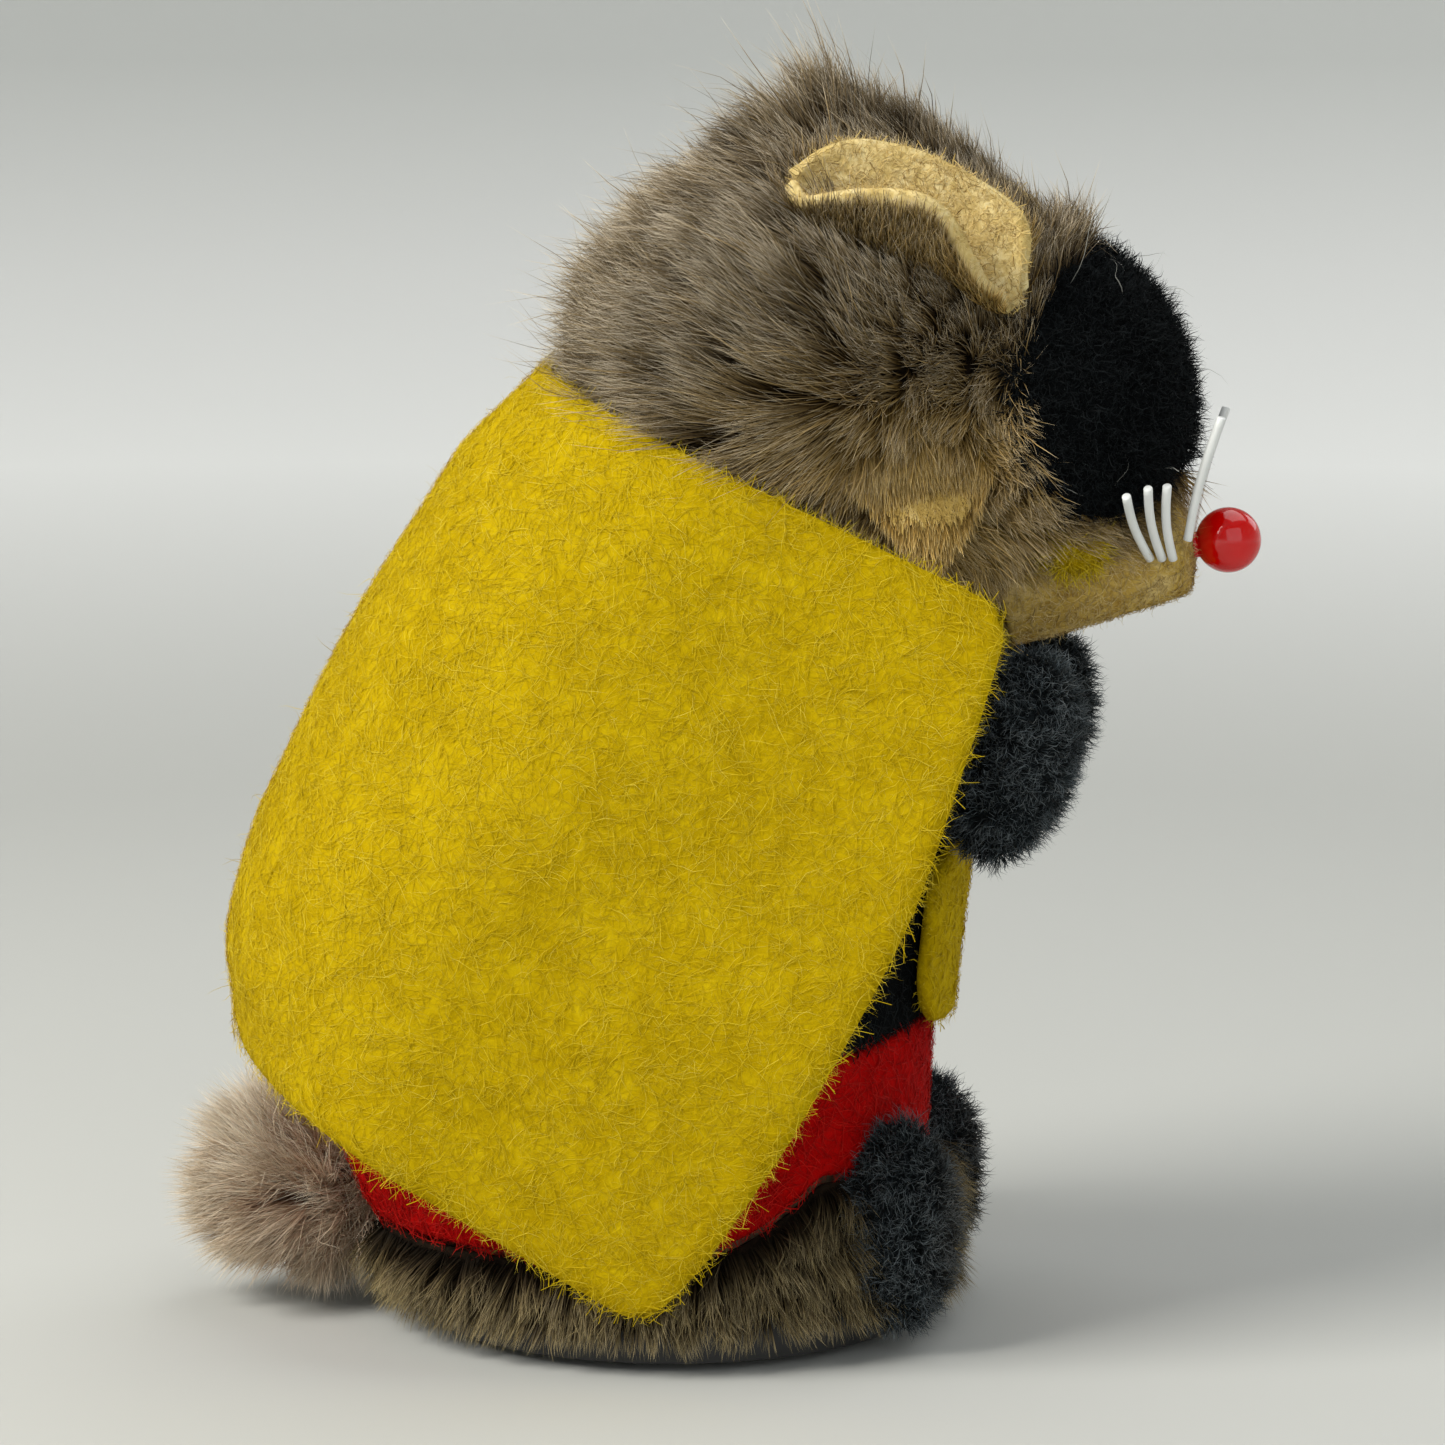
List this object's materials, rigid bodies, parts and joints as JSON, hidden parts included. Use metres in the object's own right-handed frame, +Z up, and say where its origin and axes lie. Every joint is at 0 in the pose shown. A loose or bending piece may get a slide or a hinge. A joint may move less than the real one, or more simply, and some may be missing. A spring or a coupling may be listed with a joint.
{
  "type": "clockwork mouse",
  "caption": "Wind-up toy mouse in plush and felt on a round wheeled base: leaning body, cape, mask, round ears, bead nose, whiskers, bushy tail and a side key.",
  "frame": {"origin": "centre of the flat underside of the round base", "axes": "+Z up, the mouse faces -Y, +X is its left side, where the key is"},
  "size_m": [0.0643, 0.0919, 0.1057],
  "materials": {
    "black_plastic": "moulded, satin",
    "white_plastic": "moulded, satin",
    "steel": "turned",
    "brass": "stamped, satin",
    "blued_spring_steel": "tempered blue",
    "tinned_sheet": "tinned",
    "tyre_rubber": "matt",
    "pulp_board": "pressed card",
    "peg_wood": "turned",
    "yellow_felt": "wool felt",
    "black_felt": "wool felt",
    "red_felt": "wool felt",
    "cream_felt": "wool felt",
    "brown_plush": "long pile plush",
    "pale_plush": "long pile plush",
    "slate_chenille": "chenille",
    "yellow_wool": "wool tuft",
    "red_bead": "polished",
    "nylon": "monofilament"
  },
  "bodies": {
    "mouse": {"base_tray": "black_plastic", "base_screw_1": "steel", "base_screw_2": "steel", "movement_plate_left": "brass", "movement_plate_right": "brass", "plate_pillar_1": "steel", "plate_pillar_2": "steel", "plate_pillar_3": "steel", "mainspring": "blued_spring_steel", "rear_wheel_pin": "steel", "rear_wheel_fork": "tinned_sheet", "body_case_left": "pulp_board", "body_case_right": "pulp_board", "neck_peg": "peg_wood", "trousers": "red_felt", "vest": "black_felt", "chest_patch": "yellow_felt", "cape": "yellow_felt", "foot_left": "slate_chenille", "foot_right": "slate_chenille", "fur_skirt": "brown_plush", "tail": "pale_plush", "arm_left": "slate_chenille", "arm_right": "slate_chenille", "head": "brown_plush", "snout": "cream_felt", "nose_bead": "red_bead", "mask": "black_felt", "cheek_tuft_left": "yellow_wool", "cheek_tuft_right": "yellow_wool", "ear_left": "cream_felt", "ear_right": "cream_felt", "whisker_left_1": "nylon", "whisker_left_2": "nylon", "whisker_left_3": "nylon", "whisker_left_4": "nylon", "whisker_right_1": "nylon", "whisker_right_2": "nylon", "whisker_right_3": "nylon", "whisker_right_4": "nylon"},
    "great_wheel_body": {"great_wheel": "brass", "click_rivet": "brass", "click_spring": "blued_spring_steel"},
    "winding_body": {"winding_arbor": "steel", "ratchet_wheel": "steel", "winding_key": "tinned_sheet"},
    "click_body": {"click": "steel"},
    "second_body": {"second_arbor": "steel", "second_wheel": "brass"},
    "third_body": {"third_arbor": "steel", "third_wheel": "brass"},
    "governor_body": {"governor_arbor": "steel", "governor_flywheel": "brass"},
    "drive_axle_body": {"drive_axle": "steel", "drive_wheel_left": "white_plastic", "drive_wheel_right": "white_plastic", "tyre_left": "tyre_rubber", "tyre_right": "tyre_rubber"},
    "rear_wheel_body": {"rear_wheel": "black_plastic"}
  },
  "joints": [
    {"name": "great_wheel_spin", "type": "hinge", "parent": "mouse", "child": "great_wheel_body", "pos_m": [0, -0.00371, 0.01745], "axis": [1, 0, 0], "continuous": true, "deforming": ["mainspring"]},
    {"name": "key_wind", "type": "hinge", "parent": "great_wheel_body", "child": "winding_body", "pos_m": [0, -0.00371, 0.01745], "axis": [1, 0, 0], "continuous": true, "deforming": ["mainspring"]},
    {"name": "click_lift", "type": "hinge", "parent": "great_wheel_body", "child": "click_body", "pos_m": [0, -0.00371, 0.02405], "axis": [1, 0, 0], "range_deg": [0, 10], "stiffness_Nm_per_rad": 0.0005, "springref_deg": -11.46, "deforming": ["click_spring"]},
    {"name": "second_arbor_spin", "type": "hinge", "parent": "mouse", "child": "second_body", "pos_m": [0, 0.00229, 0.02784], "axis": [1, 0, 0], "continuous": true},
    {"name": "third_arbor_spin", "type": "hinge", "parent": "mouse", "child": "third_body", "pos_m": [0, 0.00936, 0.01941], "axis": [1, 0, 0], "continuous": true},
    {"name": "governor_spin", "type": "hinge", "parent": "mouse", "child": "governor_body", "pos_m": [0, 0.01295, 0.02928], "axis": [1, 0, 0], "continuous": true},
    {"name": "drive_axle_spin", "type": "hinge", "parent": "mouse", "child": "drive_axle_body", "pos_m": [0, -0.0062, 0.0052], "axis": [1, 0, 0], "continuous": true},
    {"name": "rear_wheel_spin", "type": "hinge", "parent": "mouse", "child": "rear_wheel_body", "pos_m": [0, 0.014, 0.0032], "axis": [1, 0, 0], "continuous": true}
  ],
  "couplings": [
    {"joint": "drive_axle_spin", "follows": "great_wheel_spin", "ratio": -2.5714},
    {"joint": "second_arbor_spin", "follows": "great_wheel_spin", "ratio": -3},
    {"joint": "third_arbor_spin", "follows": "great_wheel_spin", "ratio": 8},
    {"joint": "governor_spin", "follows": "great_wheel_spin", "ratio": -20}
  ]
}
